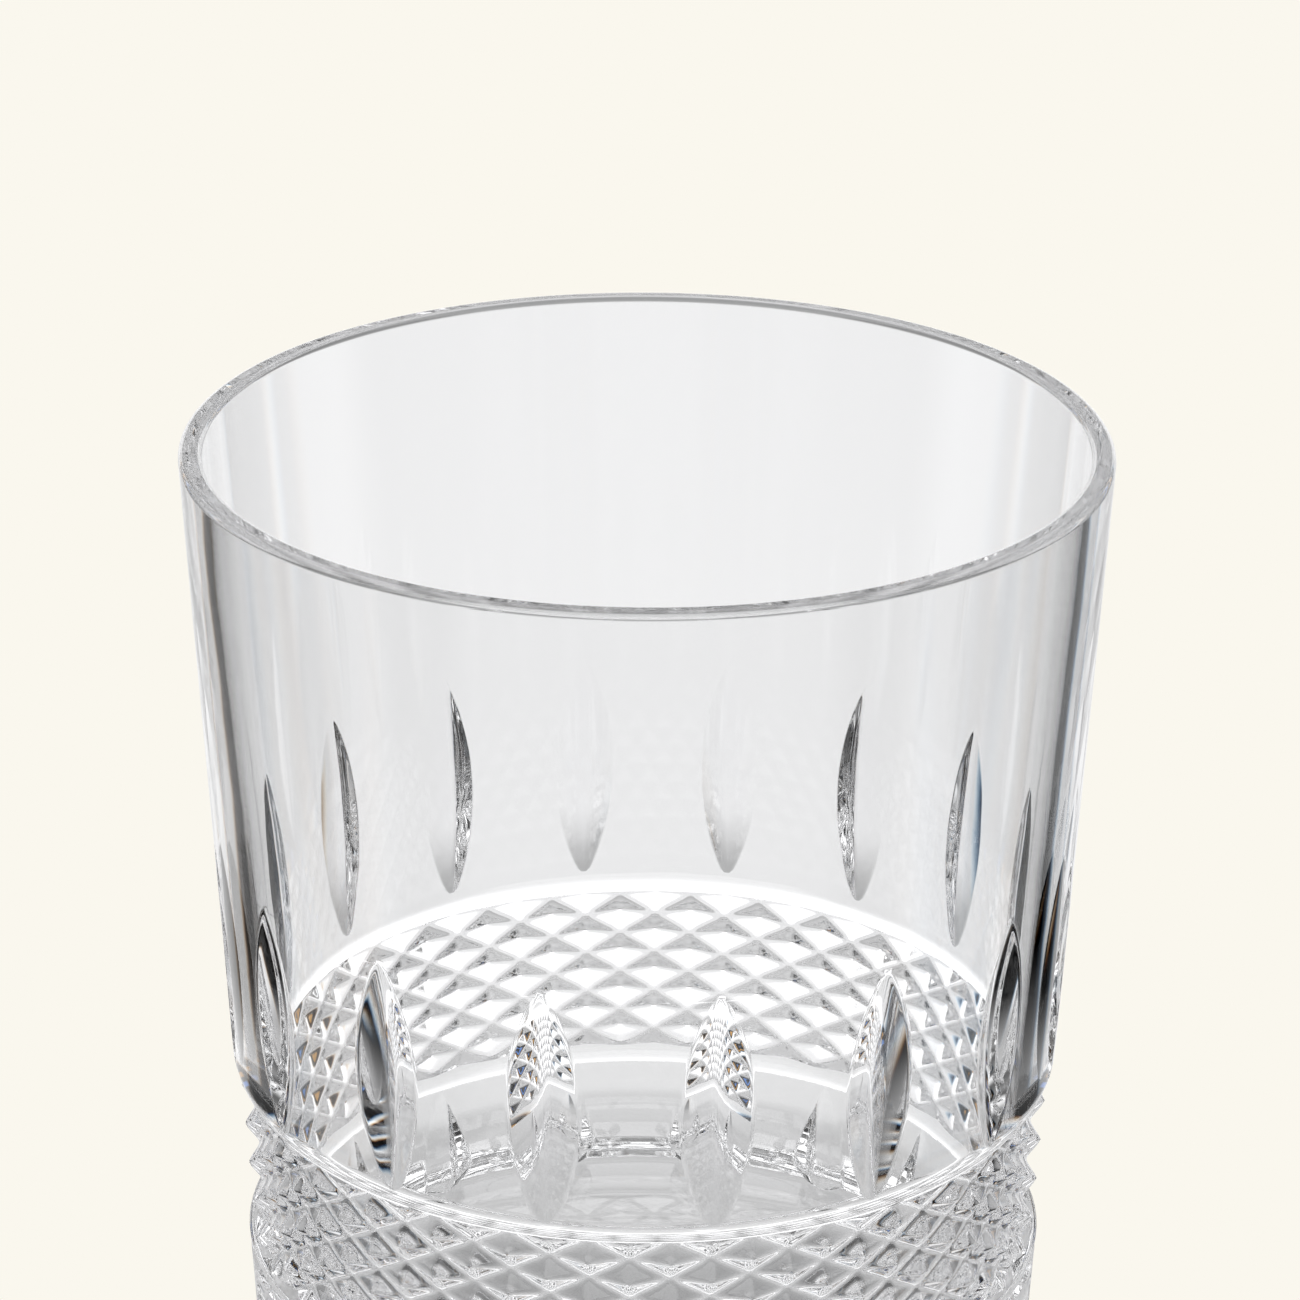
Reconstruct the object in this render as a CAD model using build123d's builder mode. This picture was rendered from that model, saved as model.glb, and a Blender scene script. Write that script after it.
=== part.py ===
"""Cut-crystal whiskey tumbler, one piece of glass.

Millimetres, +Z up. The origin is the centre of the resting face, and -Y is the front.
Azimuths are counted from the front towards +X.
"""

import os
from math import atan2, cos, radians, sin, sqrt

from build123d import *

# Overall form
HEIGHT = 100.9
RIM_RADIUS = 42.96           # outer cone carried up to the plane of the rim
OUTER_TAPER = 0.0624         # radius lost per millimetre down the outside
RIM_WALL = 2.2
FLOOR_WALL = 3.2             # wall where it meets the floor
BASE_THICKNESS = 13.0
LIP_ROUNDING = 0.8
HEEL_ROUNDING = 5.0          # inside, between wall and floor
FOOT_ROUNDING = 1.0          # outside, between wall and resting face

# Two polished rings. Each falls away downwards as a rounded shoulder and ends in a crisp step
UPPER_RING_TOP = 41.0
UPPER_RING_BOTTOM = 38.2
UPPER_RING_DROP = 1.0
LOWER_RING_TOP = 21.5
LOWER_RING_BOTTOM = 19.5
LOWER_RING_DROP = 0.6

# Diamond band: two crossing families of V grooves leave four-sided points
DIAMONDS_AROUND = 32
DIAMOND_HALF_ROWS = 8
BAND_TOP = 38.2
BAND_BOTTOM = 21.6
BAND_RECESS = 0.45           # points sit this far inside the cone
GROOVE_DEPTH = 1.3           # from the points down to where two grooves cross
GROOVE_END_DEPTH = 0.9       # grooves run shallower where they meet a ring
FIRST_CROSSING_AZIMUTH = 3.8

# Upright lancet cuts, made by the edge of a wheel
UPPER_LANCETS = 16
UPPER_LANCET_TOP = 63.2
UPPER_LANCET_BOTTOM = 39.9
UPPER_LANCET_WIDTH = 6.0
UPPER_LANCET_DEPTH = 1.45
UPPER_LANCET_AZIMUTH = 9.5

LOWER_LANCETS = 16
LOWER_LANCET_TOP = 19.2
LOWER_LANCET_BOTTOM = -4.5   # the wheel runs out past the foot
LOWER_LANCET_WIDTH = 5.8
LOWER_LANCET_DEPTH = 1.45
LOWER_LANCET_AZIMUTH = 13.3

FRONT = -90.0                # angle in the XY plane of azimuth zero
CUTTER_CLEARANCE = 3.0       # how far a cutter stands outside the glass
NODE = "crystal_tumbler"


def outer_radius(height):
    return RIM_RADIUS - OUTER_TAPER * (HEIGHT - height)


def body_outline():
    """Half section of the uncut glass in the XZ plane, with its rounded corners."""
    inner_floor_radius = outer_radius(BASE_THICKNESS) - FLOOR_WALL
    foot = (outer_radius(0.0), 0.0)
    rim_outside = (RIM_RADIUS, HEIGHT)
    rim_inside = (RIM_RADIUS - RIM_WALL, HEIGHT)
    heel = (inner_floor_radius, BASE_THICKNESS)
    with BuildSketch(Plane.XZ) as outline:
        with BuildLine():
            Polyline(
                (0.0, 0.0), foot, rim_outside, rim_inside, heel, (0.0, BASE_THICKNESS), close=True
            )
        make_face()
        for corner, rounding in (
            (foot, FOOT_ROUNDING),
            (rim_outside, LIP_ROUNDING),
            (rim_inside, LIP_ROUNDING),
            (heel, HEEL_ROUNDING),
        ):
            fillet(corner_at(outline.vertices(), corner), rounding)
    return outline.sketch


def corner_at(corners, place):
    """The corner that lies nearest to a place given in the sketch's own axes."""
    return corners.sort_by_distance(Vector(*place))[0]


def ring_cutter(top, bottom, drop):
    """Collar that leaves a rounded shoulder, falling inside the cone by the drop at its foot."""
    height = top - bottom
    section_radius = (height**2 + drop**2) / (2 * drop)
    middle_drop = section_radius - sqrt(section_radius**2 - height**2 / 4)
    clear_radius = RIM_RADIUS + CUTTER_CLEARANCE
    start = (outer_radius(top), top)
    middle = (outer_radius((top + bottom) / 2) - middle_drop, (top + bottom) / 2)
    end = (outer_radius(bottom) - drop, bottom)
    with BuildPart() as collar:
        with BuildSketch(Plane.XZ):
            with BuildLine():
                ThreePointArc(start, middle, end)
                Polyline(end, (clear_radius, bottom), (clear_radius, top), start)
            make_face()
        revolve(axis=Axis.Z)
    return collar.part


def lancet_cutter(top, bottom, width, depth):
    """V-edged wheel standing upright at angle zero, touching the wall between two heights."""
    lean = atan2(OUTER_TAPER, 1.0)
    chord = (top - bottom) / cos(lean)
    wheel_radius = chord**2 / (8 * depth) + depth / 2
    middle = (top + bottom) / 2
    hub_reach = wheel_radius - depth
    hub = Vector(
        outer_radius(middle) + hub_reach * cos(lean), 0.0, middle - hub_reach * sin(lean)
    )
    edge_height = depth + CUTTER_CLEARANCE
    edge_half_width = edge_height * (width / 2) / depth
    with BuildPart() as wheel:
        with BuildSketch(Plane(origin=hub, x_dir=(-1, 0, 0), z_dir=(0, 0, 1))):
            with BuildLine():
                Polyline(
                    (wheel_radius, 0.0),
                    (wheel_radius - edge_height, edge_half_width),
                    (wheel_radius - edge_height, -edge_half_width),
                    close=True,
                )
            make_face()
        revolve(axis=Axis(hub, (0, 1, 0)))
    return wheel.part


def band_point(column, row):
    """Corner of the diamond lattice. Even corners are groove crossings, odd ones are points."""
    height = BAND_TOP - row * (BAND_TOP - BAND_BOTTOM) / DIAMOND_HALF_ROWS
    at_end = row in (0, DIAMOND_HALF_ROWS)
    crossing_depth = GROOVE_END_DEPTH if at_end else GROOVE_DEPTH
    depth = crossing_depth if (column + row) % 2 == 0 else 0.0
    radius = outer_radius(height) - BAND_RECESS - depth
    return around(column, radius, height)


def around(column, radius, height):
    angle = radians(FRONT + FIRST_CROSSING_AZIMUTH + column * 180 / DIAMONDS_AROUND)
    return Vector(radius * cos(angle), radius * sin(angle), height)


def flat_face(*corners):
    return Face(Wire.make_polygon(corners, close=True))


def diamond_band_cutter():
    """Collar whose inner surface is the mould of the diamond band.

    Its facets lie on no common surface, so it is sewn from flat faces, and no sketch is used.
    """
    clear_radius = RIM_RADIUS + CUTTER_CLEARANCE
    faces = []
    for column in range(2 * DIAMONDS_AROUND):
        following = column + 1
        for row in range(DIAMOND_HALF_ROWS):
            here = band_point(column, row)
            beside = band_point(following, row)
            below = band_point(column, row + 1)
            across = band_point(following, row + 1)
            if (column + row) % 2 == 0:
                faces.append(flat_face(here, beside, across))
                faces.append(flat_face(here, across, below))
            else:
                faces.append(flat_face(here, beside, below))
                faces.append(flat_face(beside, across, below))
        high = (around(column, clear_radius, BAND_TOP), around(following, clear_radius, BAND_TOP))
        low = (
            around(column, clear_radius, BAND_BOTTOM),
            around(following, clear_radius, BAND_BOTTOM),
        )
        faces.append(flat_face(*high, low[1], low[0]))
        faces.append(flat_face(*high, band_point(following, 0), band_point(column, 0)))
        last = DIAMOND_HALF_ROWS
        faces.append(flat_face(*low, band_point(following, last), band_point(column, last)))
    return Solid(Shell(faces))


upper_ring = ring_cutter(UPPER_RING_TOP, UPPER_RING_BOTTOM, UPPER_RING_DROP)
lower_ring = ring_cutter(LOWER_RING_TOP, LOWER_RING_BOTTOM, LOWER_RING_DROP)
diamond_collar = diamond_band_cutter()
upper_wheel = lancet_cutter(
    UPPER_LANCET_TOP, UPPER_LANCET_BOTTOM, UPPER_LANCET_WIDTH, UPPER_LANCET_DEPTH
)
lower_wheel = lancet_cutter(
    LOWER_LANCET_TOP, LOWER_LANCET_BOTTOM, LOWER_LANCET_WIDTH, LOWER_LANCET_DEPTH
)
outline = body_outline()

with BuildPart() as tumbler:
    add(outline)
    revolve(axis=Axis.Z)
    add(diamond_collar, mode=Mode.SUBTRACT)
    add(upper_ring, mode=Mode.SUBTRACT)
    add(lower_ring, mode=Mode.SUBTRACT)
    with PolarLocations(0, UPPER_LANCETS, start_angle=FRONT + UPPER_LANCET_AZIMUTH):
        add(upper_wheel, mode=Mode.SUBTRACT)
    with PolarLocations(0, LOWER_LANCETS, start_angle=FRONT + LOWER_LANCET_AZIMUTH):
        add(lower_wheel, mode=Mode.SUBTRACT)

tumbler.part.label = NODE
os.makedirs("parts", exist_ok=True)
export_step(tumbler.part, "parts/" + NODE + ".step")
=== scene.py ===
"""Cut-crystal whiskey tumbler: the finished glass, a plain studio and the camera.

Shape functions work in millimetres and radians. Azimuth 0 is the front, -Y, and runs towards +X.
"""

import math

import bpy
import numpy as np
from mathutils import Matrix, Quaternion, Vector


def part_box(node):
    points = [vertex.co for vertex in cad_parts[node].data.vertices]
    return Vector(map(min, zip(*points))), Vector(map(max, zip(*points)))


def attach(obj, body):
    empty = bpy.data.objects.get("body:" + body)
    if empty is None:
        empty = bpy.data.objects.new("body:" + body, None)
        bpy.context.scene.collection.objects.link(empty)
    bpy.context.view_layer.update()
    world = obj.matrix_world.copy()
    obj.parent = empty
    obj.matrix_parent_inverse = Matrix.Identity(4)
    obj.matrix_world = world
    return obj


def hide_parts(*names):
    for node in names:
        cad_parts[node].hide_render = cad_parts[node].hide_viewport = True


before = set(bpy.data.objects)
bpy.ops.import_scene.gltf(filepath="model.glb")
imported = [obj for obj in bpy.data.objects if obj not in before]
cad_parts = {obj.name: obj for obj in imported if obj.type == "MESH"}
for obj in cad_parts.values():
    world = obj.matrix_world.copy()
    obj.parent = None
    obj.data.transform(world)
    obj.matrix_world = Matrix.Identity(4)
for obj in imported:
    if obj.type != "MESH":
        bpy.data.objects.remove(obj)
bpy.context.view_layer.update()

node_low, node_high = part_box("crystal_tumbler")

MM = 0.001

# The glass blank, as in the CAD
HEIGHT = node_high.z / MM
RIM_RADIUS = 42.96
OUTER_TAPER = 0.0624
RIM_WALL = 2.2
FLOOR_WALL = 3.2
BASE_THICKNESS = 13.0
LIP_ROUNDING = 0.8
HEEL_ROUNDING = 5.0
FOOT_ROUNDING = 1.0

# Polished shoulders that lead into the recessed diamond band
UPPER_SHOULDER = (41.0, 38.2, 1.0)     # top, bottom and how far it falls inside the cone
LOWER_SHOULDER = (21.5, 19.5, 0.6)
BAND_RECESS = 0.45

# Diamond band
DIAMONDS_AROUND = 32
DIAMOND_HALF_ROWS = 8
BAND_TOP = 38.2
BAND_BOTTOM = 21.6
GROOVE_DEPTH = 1.3
GROOVE_END_DEPTH = 0.9
FIRST_CROSSING = math.radians(3.8)

# Softness that polishing leaves on cut edges
CUT_POLISH = 0.10
LANCET_BOTTOM_POLISH = 0.55
DIAMOND_POLISH = 0.16        # share of a diamond's half width

# Slow waves of the inside wall: height, how many go round, spacing up the wall and phase
WAVES = ((0.018, 3, 19.0, 0.7), (0.0108, 5, -13.0, 2.1), (0.0054, 9, 7.0, 0.0))
WAVELESS = 2.0               # smooth margin next to the floor and next to the rim
WAVES_ABOVE_FLOOR = 12.0     # the waves reach full height this far above the margin
WAVES_BELOW_RIM = 8.0

FAR_OUT = 1e3                # a radius that no cut reaches
BISECTIONS = 40


class Lancets:
    """A row of upright cuts made by a V-edged wheel."""

    def __init__(self, count, top, bottom, width, depth, azimuth):
        lean = math.atan(OUTER_TAPER)
        chord = (top - bottom) / math.cos(lean)
        self.count = count
        self.top = top
        self.bottom = bottom
        self.first = math.radians(azimuth)
        self.pitch = 2 * math.pi / count
        self.wheel = chord**2 / (8 * depth) + depth / 2
        self.slope = depth / (width / 2)
        middle = (top + bottom) / 2
        self.hub_reach = cone_radius(middle) + (self.wheel - depth) * math.cos(lean)
        self.hub_height = middle - (self.wheel - depth) * math.sin(lean)

    def radius(self, azimuth, height):
        """Distance from the axis to the cut's surface, or FAR_OUT away from the cut."""
        off = (azimuth - self.first + self.pitch / 2) % self.pitch - self.pitch / 2
        side = cone_radius(height) * np.sin(off)
        soft_side = np.sqrt(side**2 + LANCET_BOTTOM_POLISH**2) - LANCET_BOTTOM_POLISH
        reach = (self.wheel - self.slope * soft_side) ** 2 - (height - self.hub_height) ** 2
        cut = (self.hub_reach - np.sqrt(np.maximum(reach, 0.0))) / np.cos(off)
        return np.where(reach > 0.0, cut, FAR_OUT)

    def half_angle(self, height):
        """Half of the angle that the cut covers at a height, found by bisection."""
        narrow, wide = 0.0, self.pitch / 2
        for _ in range(BISECTIONS):
            middle = (narrow + wide) / 2
            inside = self.radius(self.first + middle, height) < cone_radius(height)
            narrow, wide = (middle, wide) if inside else (narrow, middle)
        return narrow


def cone_radius(height):
    return RIM_RADIUS - OUTER_TAPER * (HEIGHT - height)


def cavity_radius(height):
    floor_radius = cone_radius(BASE_THICKNESS) - FLOOR_WALL
    share = (height - BASE_THICKNESS) / (HEIGHT - BASE_THICKNESS)
    return floor_radius + (RIM_RADIUS - RIM_WALL - floor_radius) * share


def softer_min(a, b, width):
    """The smaller of two radii, rounded where they cross."""
    overlap = np.clip(width - np.abs(a - b), 0.0, None) / width
    return np.minimum(a, b) - overlap**2 * width / 4


def shoulder_radius(shoulder, height):
    """Rounded shoulder that falls away downwards and ends in a crisp step."""
    top, bottom, drop = shoulder
    section = ((top - bottom) ** 2 + drop**2) / (2 * drop)
    into = np.clip(top - height, 0.0, top - bottom)
    fallen = cone_radius(height) - section + np.sqrt(section**2 - into**2)
    return np.where((height < top) & (height > bottom), fallen, FAR_OUT)


def from_groove(position):
    """How far a lattice position is from the nearest groove: 0 in it and 1 at a point."""
    distance = np.abs(position - 2 * np.round(position / 2))
    softened = np.sqrt(distance**2 + DIAMOND_POLISH**2) - DIAMOND_POLISH
    return softened / (math.sqrt(1 + DIAMOND_POLISH**2) - DIAMOND_POLISH)


def diamond_radius(azimuth, height):
    column = (azimuth - FIRST_CROSSING) * DIAMONDS_AROUND / math.pi
    row = (BAND_TOP - height) * DIAMOND_HALF_ROWS / (BAND_TOP - BAND_BOTTOM)
    ridge = 2 * DIAMOND_POLISH
    rise = softer_min(from_groove(column + row), from_groove(column - row), ridge) + ridge / 4
    to_end = np.clip(np.minimum(row, DIAMOND_HALF_ROWS - row), 0.0, 1.0)
    depth = GROOVE_END_DEPTH + (GROOVE_DEPTH - GROOVE_END_DEPTH) * to_end
    return cone_radius(height) - BAND_RECESS - depth * (1.0 - rise)


upper_lancets = Lancets(count=16, top=63.2, bottom=39.9, width=6.0, depth=1.45, azimuth=9.5)
lower_lancets = Lancets(count=16, top=19.2, bottom=-4.5, width=5.8, depth=1.45, azimuth=13.3)


def cut_surface(blank_radius, azimuth, height):
    """Radius of the outside once the wheel cuts are taken out of the blank."""
    radius = blank_radius
    for lancets in (upper_lancets, lower_lancets):
        radius = softer_min(radius, lancets.radius(azimuth, height), CUT_POLISH)
    for shoulder in (UPPER_SHOULDER, LOWER_SHOULDER):
        radius = np.minimum(radius, shoulder_radius(shoulder, height))
    in_band = (height < BAND_TOP) & (height > BAND_BOTTOM)
    return np.where(in_band, diamond_radius(azimuth, height), radius)


def blown_surface(blank_radius, azimuth, height):
    """Radius of the inside, with the slow waves that a blown and fire-polished surface keeps."""
    waves = 0.0
    for size, around, spacing, phase in WAVES:
        waves = waves + size * np.sin(around * azimuth + height / spacing + phase)
    above_floor = (height - BASE_THICKNESS - WAVELESS) / WAVES_ABOVE_FLOOR
    below_rim = (HEIGHT - WAVELESS - height) / WAVES_BELOW_RIM
    return blank_radius + waves * np.clip(above_floor, 0.0, 1.0) * np.clip(below_rim, 0.0, 1.0)


def plain_surface(blank_radius, azimuth, height):
    return blank_radius + 0.0 * azimuth


class Row:
    """One ring of mesh points: a point of the blank's outline, turned through a list of azimuths."""

    STEP = 1e-3

    def __init__(self, point, direction, azimuths, surface):
        self.azimuths = np.asarray(azimuths)
        radius, height = point
        along_r, along_z = direction
        step = self.STEP
        self.points = self.place(radius, height, self.azimuths, surface)
        before = self.place(radius - step * along_r, height - step * along_z, self.azimuths, surface)
        after = self.place(radius + step * along_r, height + step * along_z, self.azimuths, surface)
        turn = step / max(radius, 1.0)
        left = self.place(radius, height, self.azimuths - turn, surface)
        right = self.place(radius, height, self.azimuths + turn, surface)
        normals = np.cross(right - left, after - before)
        self.normals = normals / np.linalg.norm(normals, axis=1, keepdims=True)

    @staticmethod
    def place(radius, height, azimuths, surface):
        heights = np.full_like(azimuths, height)
        reach = surface(np.full_like(azimuths, radius), azimuths, heights)
        return np.stack([reach * np.sin(azimuths), -reach * np.cos(azimuths), heights], axis=1)


def arc(centre, radius, start, end, steps):
    """Points and travel directions on an arc of the outline, angles in radians."""
    made = []
    turn = 1.0 if end > start else -1.0
    for angle in np.linspace(start, end, steps):
        point = (centre[0] + radius * math.cos(angle), centre[1] + radius * math.sin(angle))
        direction = (-math.sin(angle) * turn, math.cos(angle) * turn)
        made.append((point, direction))
    return made


def straight(radius_at, heights, lean, upward):
    sign = 1.0 if upward else -1.0
    direction = (sign * math.sin(lean), sign * math.cos(lean))
    return [((radius_at(height), height), direction) for height in heights]


OUTER_LEAN = math.atan(OUTER_TAPER)
INNER_LEAN = math.atan(
    (cavity_radius(HEIGHT) - cavity_radius(BASE_THICKNESS)) / (HEIGHT - BASE_THICKNESS)
)


# Columns of the mesh: shares of a lancet's half width, steps just outside it, then the plain wall
INSIDE_SHARES = (0.0, 0.04, 0.1, 0.25, 0.45, 0.65, 0.82, 0.93, 1.0)
EDGE_STEPS = (0.12, 0.35)
PLAIN_STEPS = 3
NARROWEST = 0.12             # half width that columns keep at a lancet's tip
EVEN_AFTER = 10.0            # columns are evenly spread this far above or below the lancets

CELL_SHARES = (0.0, 0.09, 0.2, 0.35, 0.5, 0.65, 0.8, 0.91)      # columns and rows in a half diamond
DISC_SHARES = (0.25, 0.6, 0.93)                                 # rings of the two flat discs
DISC_COLUMNS = (16, 48, 144)

# Rows of the mesh
ARC_ROWS = 10
HEEL_ROWS = 18
INSIDE_ROWS = 30
FOOT_ROWS = 12
FOOT_ROWS_SPAN = (0.08, 0.93)
LOWER_LANCET_ROWS = 40       # eased over the whole lancet, and the upper half of them is used
LOWER_LANCET_EASED_FROM = 4.4
LOWER_LANCET_MIDDLE = 12.0
LOWER_SHOULDER_ROWS = 12
UPPER_SHOULDER_ROWS = 14
UPPER_LANCET_ROWS = 38
PLAIN_ROWS = 9
STEP_GAP = 0.002             # rows keep this clear of the crisp steps
BAND_INSET = 1e-4
ABOVE_SHOULDER = 0.15
ABOVE_LANCETS = (0.05, 0.6)
BELOW_OUTER_LIP = 1.4
BELOW_INNER_LIP = 1.6
ABOVE_HEEL = 0.8


def lancet_azimuths(lancets, height):
    """Columns that follow the outline of each lancet, and even out away from the row of lancets."""
    radius = cone_radius(height)
    half = max(lancets.half_angle(height), NARROWEST / radius)
    beyond = max(height - lancets.top, lancets.bottom - height, 0.0) / EVEN_AFTER
    evenness = min(beyond, 1.0) ** 2 * (3 - 2 * min(beyond, 1.0))
    one_side = [share * half for share in INSIDE_SHARES]
    one_side += [half + step / radius for step in EDGE_STEPS]
    last = one_side[-1]
    one_side += [
        last + (lancets.pitch / 2 - last) * (index + 1) / PLAIN_STEPS for index in range(PLAIN_STEPS)
    ]
    even_side = np.linspace(0.0, lancets.pitch / 2, len(one_side))
    side = np.array(one_side) * (1 - evenness) + even_side * evenness
    sector = np.concatenate([-side[:0:-1], side[:-1]])
    starts = lancets.first + lancets.pitch * np.arange(lancets.count)
    return (starts[:, None] + sector[None, :]).ravel()


def band_azimuths():
    columns = 2 * DIAMONDS_AROUND
    places = [column + share for column in range(columns) for share in CELL_SHARES]
    return FIRST_CROSSING + np.array(places) * math.pi / DIAMONDS_AROUND


def even_azimuths(count, start):
    return start + np.arange(count) * 2 * math.pi / count


def eased_heights(low, high, steps):
    """Heights that crowd towards both ends."""
    turns = np.linspace(0.0, math.pi, steps)
    return (low + high) / 2 - (high - low) / 2 * np.cos(turns)


def outside_rows():
    foot_centre = (
        cone_radius(FOOT_ROUNDING) - FOOT_ROUNDING / math.cos(OUTER_LEAN),
        FOOT_ROUNDING,
    )
    lip_centre = (
        cone_radius(HEIGHT - LIP_ROUNDING) - LIP_ROUNDING / math.cos(OUTER_LEAN),
        HEIGHT - LIP_ROUNDING,
    )
    top, bottom, _ = LOWER_SHOULDER
    foot_arc = arc(foot_centre, FOOT_ROUNDING, -math.pi / 2, -OUTER_LEAN, ARC_ROWS)
    rows = lancet_rows(foot_arc, lower_lancets)
    low = rows[-1].points[0, 2]
    heights = list(low + (LOWER_LANCET_MIDDLE - low) * np.linspace(*FOOT_ROWS_SPAN, FOOT_ROWS))
    lancet_heights = eased_heights(LOWER_LANCET_EASED_FROM, bottom - STEP_GAP, LOWER_LANCET_ROWS)
    heights += list(lancet_heights[LOWER_LANCET_ROWS // 2:])
    heights += list(np.linspace(bottom + STEP_GAP, top, LOWER_SHOULDER_ROWS))
    heights.append(BAND_BOTTOM - STEP_GAP)
    rows += lancet_rows(straight(cone_radius, heights, OUTER_LEAN, True), lower_lancets)

    band = band_azimuths()
    for point, direction in straight(cone_radius, band_heights(), OUTER_LEAN, True):
        rows.append(Row(point, direction, band, cut_surface))

    top = UPPER_SHOULDER[0]
    lancet_end, plain_start = (upper_lancets.top + above for above in ABOVE_LANCETS)
    heights = list(np.linspace(BAND_TOP + STEP_GAP, top, UPPER_SHOULDER_ROWS))
    heights += list(eased_heights(top + ABOVE_SHOULDER, lancet_end, UPPER_LANCET_ROWS))
    heights += list(np.linspace(plain_start, HEIGHT - BELOW_OUTER_LIP, PLAIN_ROWS))
    rows += lancet_rows(straight(cone_radius, heights, OUTER_LEAN, True), upper_lancets)
    lip_arc = arc(lip_centre, LIP_ROUNDING, -OUTER_LEAN, math.pi / 2, ARC_ROWS)
    return rows + lancet_rows(lip_arc, upper_lancets)


def lancet_rows(outline, lancets):
    """Rows whose columns follow the outlines of a row of lancets."""
    return [
        Row(point, direction, lancet_azimuths(lancets, point[1]), cut_surface)
        for point, direction in outline
    ]


def band_heights():
    """Rows of the diamond band from the bottom up, just inside the two ends."""
    rows = [row + share for row in range(DIAMOND_HALF_ROWS) for share in CELL_SHARES]
    rows.append(float(DIAMOND_HALF_ROWS))
    step = (BAND_TOP - BAND_BOTTOM) / DIAMOND_HALF_ROWS
    heights = np.array([BAND_TOP - row * step for row in reversed(rows)])
    return list(np.clip(heights, BAND_BOTTOM + BAND_INSET, BAND_TOP - BAND_INSET))


def inside_rows(count, start):
    azimuths = even_azimuths(count, start)
    lip_centre = (
        cavity_radius(HEIGHT - LIP_ROUNDING) + LIP_ROUNDING / math.cos(INNER_LEAN),
        HEIGHT - LIP_ROUNDING,
    )
    heel_centre = (
        cavity_radius(BASE_THICKNESS + HEEL_ROUNDING) - HEEL_ROUNDING / math.cos(INNER_LEAN),
        BASE_THICKNESS + HEEL_ROUNDING,
    )
    rows = []
    lip_end = math.pi - INNER_LEAN
    for point, direction in arc(lip_centre, LIP_ROUNDING, math.pi / 2, lip_end, ARC_ROWS):
        rows.append(Row(point, direction, azimuths, plain_surface))
    lowest = BASE_THICKNESS + HEEL_ROUNDING + ABOVE_HEEL
    heights = np.linspace(HEIGHT - BELOW_INNER_LIP, lowest, INSIDE_ROWS)
    for point, direction in straight(cavity_radius, heights, INNER_LEAN, False):
        rows.append(Row(point, direction, azimuths, blown_surface))
    for point, direction in arc(heel_centre, HEEL_ROUNDING, -INNER_LEAN, -math.pi / 2, HEEL_ROWS):
        rows.append(Row(point, direction, azimuths, blown_surface))
    return rows


def flat_rows(height, edge_radius, upward):
    """Rings of a flat disc, from its centre outwards."""
    sign = -1.0 if upward else 1.0
    return [
        Row((edge_radius * share, height), (sign, 0.0), even_azimuths(count, 0.0), plain_surface)
        for share, count in zip(DISC_SHARES, DISC_COLUMNS)
    ]


class Skin:
    """Points, normals and faces of a closed surface, gathered row by row."""

    def __init__(self):
        self.points = []
        self.normals = []
        self.faces = []
        self.total = 0

    def add_row(self, row):
        start = self.total
        self.points.append(row.points)
        self.normals.append(row.normals)
        self.total += len(row.points)
        return start, row.azimuths

    def add_centre(self, height, upward):
        self.points.append(np.array([[0.0, 0.0, height]]))
        self.normals.append(np.array([[0.0, 0.0, 1.0 if upward else -1.0]]))
        self.total += 1
        return self.total - 1

    def join_matching(self, lower, upper, diagonals=None):
        start_low, azimuths = lower
        start_high = upper[0]
        count = len(azimuths)
        for index in range(count):
            following = (index + 1) % count
            a, b = start_low + index, start_low + following
            c, d = start_high + following, start_high + index
            if diagonals is None:
                self.faces.append((a, b, c, d))
            elif diagonals[index]:
                self.faces += [(a, b, c), (a, c, d)]
            else:
                self.faces += [(a, b, d), (b, c, d)]

    def join_by_angle(self, lower, upper):
        """Triangles between two rings whose columns differ."""
        start_low, low_angles = lower
        start_high, high_angles = upper
        low_order = np.argsort(low_angles % (2 * math.pi))
        high_order = np.argsort(high_angles % (2 * math.pi))
        low_sorted = np.sort(low_angles % (2 * math.pi))
        high_sorted = np.sort(high_angles % (2 * math.pi))
        low_count, high_count = len(low_order), len(high_order)
        i = j = 0
        while i < low_count or j < high_count:
            next_low = low_sorted[i + 1] if i + 1 < low_count else low_sorted[0] + 2 * math.pi
            next_high = high_sorted[j + 1] if j + 1 < high_count else high_sorted[0] + 2 * math.pi
            low_now = start_low + low_order[i % low_count]
            high_now = start_high + high_order[j % high_count]
            if j >= high_count or (i < low_count and next_low <= next_high):
                self.faces.append((low_now, start_low + low_order[(i + 1) % low_count], high_now))
                i += 1
            else:
                self.faces.append((low_now, start_high + high_order[(j + 1) % high_count], high_now))
                j += 1

    def close(self, ring, centre, ring_first):
        start, azimuths = ring
        count = len(azimuths)
        for index in range(count):
            a, b = start + index, start + (index + 1) % count
            self.faces.append((a, b, centre) if ring_first else (b, a, centre))


def band_diagonals(row_index):
    """Which way each quad of a band row is split, so that groove bottoms stay straight."""
    per_cell = len(CELL_SHARES)
    cell_row = DIAMOND_HALF_ROWS - 1 - row_index // per_cell
    flags = []
    for column in range(2 * DIAMONDS_AROUND):
        falling = (column + cell_row) % 2 == 0
        flags += [not falling] * per_cell
    return flags


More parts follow.
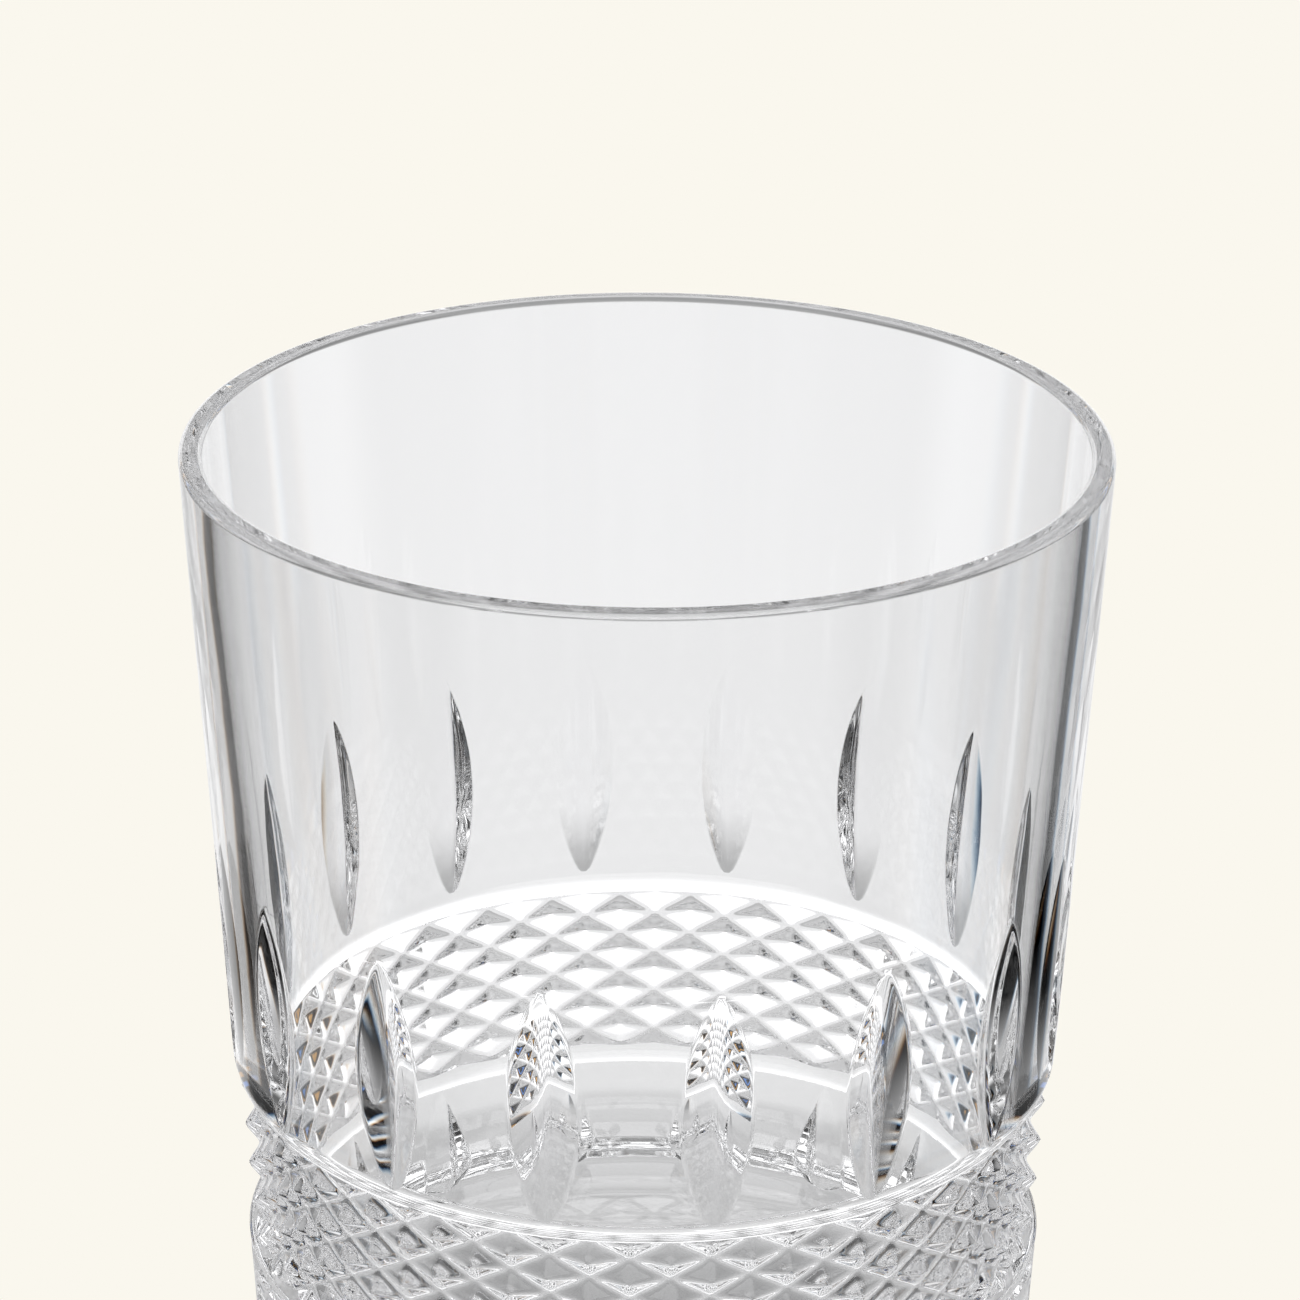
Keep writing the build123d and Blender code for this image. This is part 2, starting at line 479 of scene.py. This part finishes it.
def build_tumbler():
    skin = Skin()
    outside = outside_rows()
    per_ring = len(outside[0].azimuths)
    band_columns = 2 * DIAMONDS_AROUND * len(CELL_SHARES)
    foot_radius = float(np.linalg.norm(outside[0].points[0, :2]))
    underside = flat_rows(0.0, foot_radius, upward=False)
    inside = inside_rows(per_ring // 2, upper_lancets.first - upper_lancets.pitch / 2)
    floor_radius = float(np.linalg.norm(inside[-1].points[0, :2]))
    floor = flat_rows(BASE_THICKNESS, floor_radius, upward=True)[::-1]

    stack = underside + outside + inside + floor
    centre = skin.add_centre(0.0, upward=False)
    rings = [skin.add_row(row) for row in stack]
    skin.close(rings[0], centre, ring_first=False)
    band_row = 0
    for lower, upper in zip(rings, rings[1:]):
        same = len(lower[1]) == len(upper[1])
        if same and len(lower[1]) == band_columns:
            skin.join_matching(lower, upper, band_diagonals(band_row))
            band_row += 1
        elif same and starts_match(lower, upper):
            skin.join_matching(lower, upper)
        else:
            skin.join_by_angle(lower, upper)
    top_centre = skin.add_centre(BASE_THICKNESS, upward=True)
    skin.close(rings[-1], top_centre, ring_first=True)
    return skin


def starts_match(lower, upper):
    return abs(lower[1][0] - upper[1][0]) < 0.5 * 2 * math.pi / len(lower[1])


def mesh_object(name, skin):
    points = np.concatenate(skin.points) * MM
    normals = np.concatenate(skin.normals)
    mesh = bpy.data.meshes.new(name)
    mesh.from_pydata(points.tolist(), [], [tuple(int(i) for i in face) for face in skin.faces])
    mesh.validate()
    mesh.shade_smooth()
    loop_vertices = np.zeros(len(mesh.loops), np.int32)
    mesh.loops.foreach_get("vertex_index", loop_vertices)
    loop_normals = normals[loop_vertices]
    steep_faces(mesh, loop_normals)
    mesh.normals_split_custom_set(loop_normals.tolist())
    made = bpy.data.objects.new(name, mesh)
    bpy.context.scene.collection.objects.link(made)
    return made


STEEP = math.radians(35.0)


def steep_faces(mesh, loop_normals):
    """Small steps, such as where grooves end at a ring, keep their own flat normals."""
    limit = math.cos(STEEP)
    for face in mesh.polygons:
        normal = np.array(face.normal)
        span = range(face.loop_start, face.loop_start + face.loop_total)
        if min(loop_normals[index] @ normal for index in span) < limit:
            for index in span:
                loop_normals[index] = normal


def grey(value):
    """Grey light, very slightly cool."""
    return (value, value, value * 1.005, 1.0)


class Shader:
    """A material's or a world's node tree, with short ways to add and link nodes."""

    def __init__(self, tree):
        self.tree = tree
        tree.nodes.clear()

    def node(self, kind, settings=(), **inputs):
        made = self.tree.nodes.new(kind)
        for name, value in dict(settings).items():
            setattr(made, name, value)
        for name, value in inputs.items():
            self.feed(made, name.replace("_", " "), value)
        return made

    def feed(self, node, name, value):
        socket = node.inputs[int(name)] if name.isdigit() else node.inputs[name]
        if isinstance(value, bpy.types.NodeSocket):
            self.tree.links.new(value, socket)
        else:
            socket.default_value = value

    def mix(self, factor, first, second):
        made = self.node("ShaderNodeMix", {"data_type": "RGBA"})
        for socket, value in ((0, factor), (6, first), (7, second)):
            self.feed(made, str(socket), value)
        return made.outputs[2]

    def mix_shaders(self, factor, first, second):
        made = self.node("ShaderNodeMixShader")
        for socket, value in ((0, factor), (1, first), (2, second)):
            self.feed(made, str(socket), value)
        return made.outputs[0]

    def ramp(self, value, low, high):
        """0 below low, 1 above high and smooth between."""
        made = self.node("ShaderNodeMapRange", {"interpolation_type": "SMOOTHSTEP"})
        for name, number in (("Value", value), ("From Min", low), ("From Max", high)):
            self.feed(made, name, number)
        return made.outputs[0]

    def math(self, operation, *values):
        made = self.node("ShaderNodeMath", {"operation": operation})
        for socket, value in enumerate(values):
            self.feed(made, str(socket), value)
        return made.outputs[0]

    def noise(self, place, scale):
        made = self.node("ShaderNodeTexNoise", Vector=place, Scale=scale, Detail=1.0)
        return made.outputs[0]

    def bump(self, height, distance, normal=None):
        made = self.node("ShaderNodeBump", Height=height, Distance=distance, Strength=1.0)
        if normal is not None:
            self.feed(made, "Normal", normal)
        return made.outputs[0]

    def times(self, first, second):
        made = self.node("ShaderNodeMix", {"data_type": "RGBA", "blend_type": "MULTIPLY"})
        for socket, value in ((0, 1.0), (6, first), (7, second)):
            self.feed(made, str(socket), value)
        return made.outputs[2]

    def steps(self, value, stops):
        """Grey that follows (value, brightness) stops, eased between them."""
        low, high = stops[0][0], stops[-1][0]
        place = self.node("ShaderNodeMapRange")
        for name, number in (("Value", value), ("From Min", low), ("From Max", high)):
            self.feed(place, name, number)
        made = self.node("ShaderNodeValToRGB")
        ramp = made.color_ramp
        ramp.interpolation = "EASE"
        while len(ramp.elements) < len(stops):
            ramp.elements.new(0.5)
        for element, (stop, brightness) in zip(ramp.elements, stops):
            element.position = (stop - low) / (high - low)
            element.color = grey(brightness)
        self.feed(made, "Fac", place.outputs[0])
        return made.outputs["Color"]

    def finish(self, shader, output="ShaderNodeOutputMaterial"):
        self.tree.links.new(shader, self.node(output).inputs["Surface"])


CRYSTAL_IOR = 1.55
WAVE_SIZE = 0.007            # metres from crest to crest of the fire-polished skin
WAVE_HEIGHT = 0.000006
STREAK_SIZE = 0.0009         # fine marks that acid polishing leaves along the cuts
STREAK_STRETCH = 0.12
STREAK_HEIGHT = 0.0000006
CUT_STARTS = (0.00019, 0.00095)     # metres inside the cone where a cut's finish fades in
CUT_ENDS = (0.00228, 0.0019)        # and where it fades out, so that the cavity is left alone
HAZE = 0.010                 # roughness at the bottom of the deepest cuts
CLEAR_TINT = (0.995, 0.996, 0.997, 1.0)
CUT_TINT = (0.985, 0.985, 0.992, 1.0)


def crystal_material():
    """Clear crystal. Its skin waves a little, and its cuts are streaked and faintly hazy."""
    material = bpy.data.materials.new("crystal")
    material.use_nodes = True
    shader = Shader(material.node_tree)
    place = shader.node("ShaderNodeTexCoord").outputs["Object"]
    part = shader.node("ShaderNodeSeparateXYZ", Vector=place)
    height = part.outputs["Z"]
    across = shader.node("ShaderNodeCombineXYZ", X=part.outputs["X"], Y=part.outputs["Y"])
    radius = shader.node("ShaderNodeVectorMath", {"operation": "LENGTH"})
    shader.feed(radius, "0", across.outputs[0])
    cone = shader.math("MULTIPLY_ADD", height, OUTER_TAPER, cone_radius(0.0) * MM)
    sunk = shader.math("SUBTRACT", cone, radius.outputs["Value"])
    in_cut = shader.math("MULTIPLY", shader.ramp(sunk, *CUT_STARTS), shader.ramp(sunk, *CUT_ENDS))

    waves = shader.noise(place, 1 / WAVE_SIZE)
    skin = shader.bump(waves, WAVE_HEIGHT)
    stretched = shader.node("ShaderNodeVectorMath", {"operation": "MULTIPLY"})
    shader.feed(stretched, "0", place)
    shader.feed(stretched, "1", (1.0, 1.0, STREAK_STRETCH))
    streaks = shader.noise(stretched.outputs[0], 1 / STREAK_SIZE)
    marked = shader.bump(shader.math("MULTIPLY", streaks, in_cut), STREAK_HEIGHT, skin)
    rough = shader.math("MULTIPLY", shader.math("MULTIPLY", in_cut, streaks), HAZE)
    tint = shader.mix(in_cut, CLEAR_TINT, CUT_TINT)
    glass = shader.node(
        "ShaderNodeBsdfPrincipled",
        Base_Color=tint,
        Roughness=rough,
        Transmission_Weight=1.0,
        IOR=CRYSTAL_IOR,
        Normal=marked,
    )
    shader.finish(glass.outputs[0])
    return material


PAPER_SEEN = (0.956, 0.930, 0.855, 1.0)
PAPER_FADE = (0.045, 0.120)  # distances between which the glass stops picking up the paper
# Painted shadow of the glass on the paper: the brightness the paper glows with for the glass,
# against how far behind the middle of the glass it lies, in metres
SHADE_STEPS = (
    (-0.045, 0.14), (-0.020, 0.30), (0.010, 0.60), (0.037, 0.62), (0.065, 0.80), (0.110, 0.90),
)
FLOOR_HALF = 20.0
FLOOR_DROP = 0.0001


def floor_material():
    """Pale paper. The camera sees its warm tint, and the glass picks up a painted shadow below it: a
    glow, darker or lighter by depth, that stands in for the glass's shadow on the paper.
    """
    material = bpy.data.materials.new("paper")
    material.use_nodes = True
    shader = Shader(material.node_tree)
    place = shader.node("ShaderNodeTexCoord").outputs["Object"]
    distance = shader.node("ShaderNodeVectorMath", {"operation": "LENGTH"})
    shader.feed(distance, "0", place)
    away = shader.ramp(distance.outputs["Value"], *PAPER_FADE)
    to_camera = {"vector_type": "VECTOR", "convert_from": "WORLD", "convert_to": "CAMERA"}
    turned = shader.node("ShaderNodeVectorTransform", to_camera, Vector=place)
    from_camera = shader.node("ShaderNodeSeparateXYZ", Vector=turned.outputs[0])
    # Painted shadow: the glow the glass sees on the paper, set by depth in the camera's view
    shaded = shader.steps(from_camera.outputs["Z"], SHADE_STEPS)
    shade = shader.node("ShaderNodeEmission", Color=shaded).outputs[0]
    clear = shader.node("ShaderNodeBsdfTransparent").outputs[0]
    in_glass = shader.mix_shaders(away, shade, clear)
    seen = shader.node("ShaderNodeLightPath").outputs["Is Camera Ray"]
    paper = shader.node("ShaderNodeEmission", Color=PAPER_SEEN).outputs[0]
    shader.finish(shader.mix_shaders(seen, in_glass, paper))
    return material


def make_floor():
    """Paper that goes on past the picture, a hair below the glass so that the two don't touch."""
    low, high = -FLOOR_HALF, FLOOR_HALF
    corners = [(x, y, -FLOOR_DROP) for x, y in ((low, low), (high, low), (high, high), (low, high))]
    mesh = bpy.data.meshes.new("floor")
    mesh.from_pydata(corners, [], [(0, 1, 2, 3)])
    mesh.materials.append(floor_material())
    floor = bpy.data.objects.new("floor", mesh)
    bpy.context.scene.collection.objects.link(floor)


# Studio light as (place, brightness) steps. Behind the glass, brightness follows the sine of the
# elevation and is cut to black towards the sides
BACKDROP_STEPS = (
    (-1.0, 0.3), (-0.6, 0.3), (-0.46, 0.95), (-0.26, 0.95), (-0.12, 1.5),
    (0.14, 1.5), (0.22, 0.3), (0.5, 0.15), (0.7, 1.0), (1.0, 1.5),
)
# Sideways, against the sine of the angle from the line of sight. Past the black gap come a
# narrow lamp, near 0.83, and a pale wall
SIDE_FADE = (
    (0.0, 1.0), (0.38, 1.0), (0.45, 0.86), (0.49, 0.06), (0.52, 0.0),
    (0.79, 0.0), (0.83, 0.8), (0.86, 0.0), (0.89, 0.0), (0.93, 0.6), (1.0, 0.7),
)
# How far the black sides give way to the backdrop, against the sine of the elevation
SIDE_STEPS = ((-1.0, 0.4), (-0.85, 0.0), (0.6, 0.0), (0.8, 1.0))
# On the camera's side of the glass
FRONT_STEPS = (
    (-1.0, 0.3), (-0.5, 0.35), (-0.2, 0.04), (0.2, 0.02), (0.38, 0.04),
    (0.45, 1.8), (0.8, 1.8), (1.0, 1.0),
)
FRONT_SIDE_FADE = ((0.0, 1.0), (0.6, 1.0), (0.75, 0.05), (1.0, 0.0))
FRONT_TO_BACK = 0.15         # half width of the change from one side's light to the other's
FRINGE = 0.003               # how far red and blue part at the edges of the backdrop
# Narrow coloured strips in the black sides, which stand in for the colours that cut glass splits
GLINTS = (
    (0.53, 0.57, (0.44, 0.24, 0.07, 1.0)),
    (0.59, 0.63, (0.09, 0.19, 0.46, 1.0)),
)
GLINT_EDGE = 0.01
GLINT_FADE = (-0.27, -0.20)  # the strips end below these elevations


def make_world():
    """Studio light by direction. It is bright behind the glass and black to both sides of it."""
    world = bpy.data.worlds.new("studio")
    bpy.context.scene.world = world
    world.use_nodes = True
    shader = Shader(world.node_tree)
    coordinates = shader.node("ShaderNodeTexCoord")
    in_view = shader.node("ShaderNodeSeparateXYZ", Vector=coordinates.outputs["Camera"])
    in_room = shader.node("ShaderNodeSeparateXYZ", Vector=coordinates.outputs["Generated"])
    across, depth = in_view.outputs["X"], in_view.outputs["Z"]
    rise = in_room.outputs["Z"]

    channels = {}
    for channel, shift in (("Red", FRINGE), ("Green", 0.0), ("Blue", -FRINGE)):
        shifted = shader.math("ABSOLUTE", shader.math("ADD", across, shift))
        channels[channel] = shader.steps(shifted, SIDE_FADE)
    sides = shader.node("ShaderNodeCombineColor", **channels).outputs[0]

    aside = shader.math("ABSOLUTE", across)
    above_floor = shader.ramp(rise, *GLINT_FADE)
    for start, end, tint in GLINTS:
        inner_edge = shader.ramp(aside, start, start + GLINT_EDGE)
        outer_edge = shader.ramp(aside, end, end - GLINT_EDGE)
        strip = shader.math("MULTIPLY", inner_edge, outer_edge)
        sides = shader.mix(shader.math("MULTIPLY", strip, above_floor), sides, tint)

    open_sides = shader.mix(shader.steps(rise, SIDE_STEPS), sides, grey(1.0))
    behind = shader.times(shader.steps(rise, BACKDROP_STEPS), open_sides)
    front = shader.times(shader.steps(rise, FRONT_STEPS), shader.steps(aside, FRONT_SIDE_FADE))
    light = shader.mix(shader.ramp(depth, -FRONT_TO_BACK, FRONT_TO_BACK), front, behind)
    seen = shader.node("ShaderNodeLightPath").outputs["Is Camera Ray"]
    glow = shader.node("ShaderNodeBackground", Color=shader.mix(seen, light, PAPER_SEEN))
    shader.finish(glow.outputs[0], "ShaderNodeOutputWorld")


CAMERA_DISTANCE = 0.498
CAMERA_HEIGHT = 0.28303
CAMERA_PITCH = math.radians(22.168)
CAMERA_ROLL = 0.0053
CAMERA_LENS = 160.14
CAMERA_SHIFT = 0.0030
SENSOR_WIDTH = 36.0
CLIP_START = 0.01
CLIP_END = 100.0
BOUNCES = 80                 # light runs down the wall as in a fibre, so fewer leave the rim black


def make_camera():
    data = bpy.data.cameras.new("camera")
    data.sensor_width = SENSOR_WIDTH
    data.lens = CAMERA_LENS
    data.shift_x = CAMERA_SHIFT
    data.clip_start = CLIP_START
    data.clip_end = CLIP_END
    camera = bpy.data.objects.new("camera", data)
    camera.location = (0.0, -CAMERA_DISTANCE, CAMERA_HEIGHT)
    camera.rotation_mode = "QUATERNION"
    forward = Vector((0.0, math.cos(CAMERA_PITCH), -math.sin(CAMERA_PITCH)))
    roll = Quaternion((0.0, 0.0, 1.0), CAMERA_ROLL)
    camera.rotation_quaternion = forward.to_track_quat("-Z", "Y") @ roll
    bpy.context.scene.collection.objects.link(camera)
    bpy.context.scene.camera = camera


tumbler = mesh_object("tumbler", build_tumbler())
tumbler.data.materials.append(crystal_material())
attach(tumbler, "root")
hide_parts("crystal_tumbler")

make_floor()
make_world()
make_camera()

scene = bpy.context.scene
scene.view_settings.view_transform = "Standard"
scene.cycles.max_bounces = BOUNCES
scene.cycles.transmission_bounces = BOUNCES
scene.cycles.glossy_bounces = BOUNCES
scene.cycles.caustics_reflective = True
scene.cycles.caustics_refractive = True
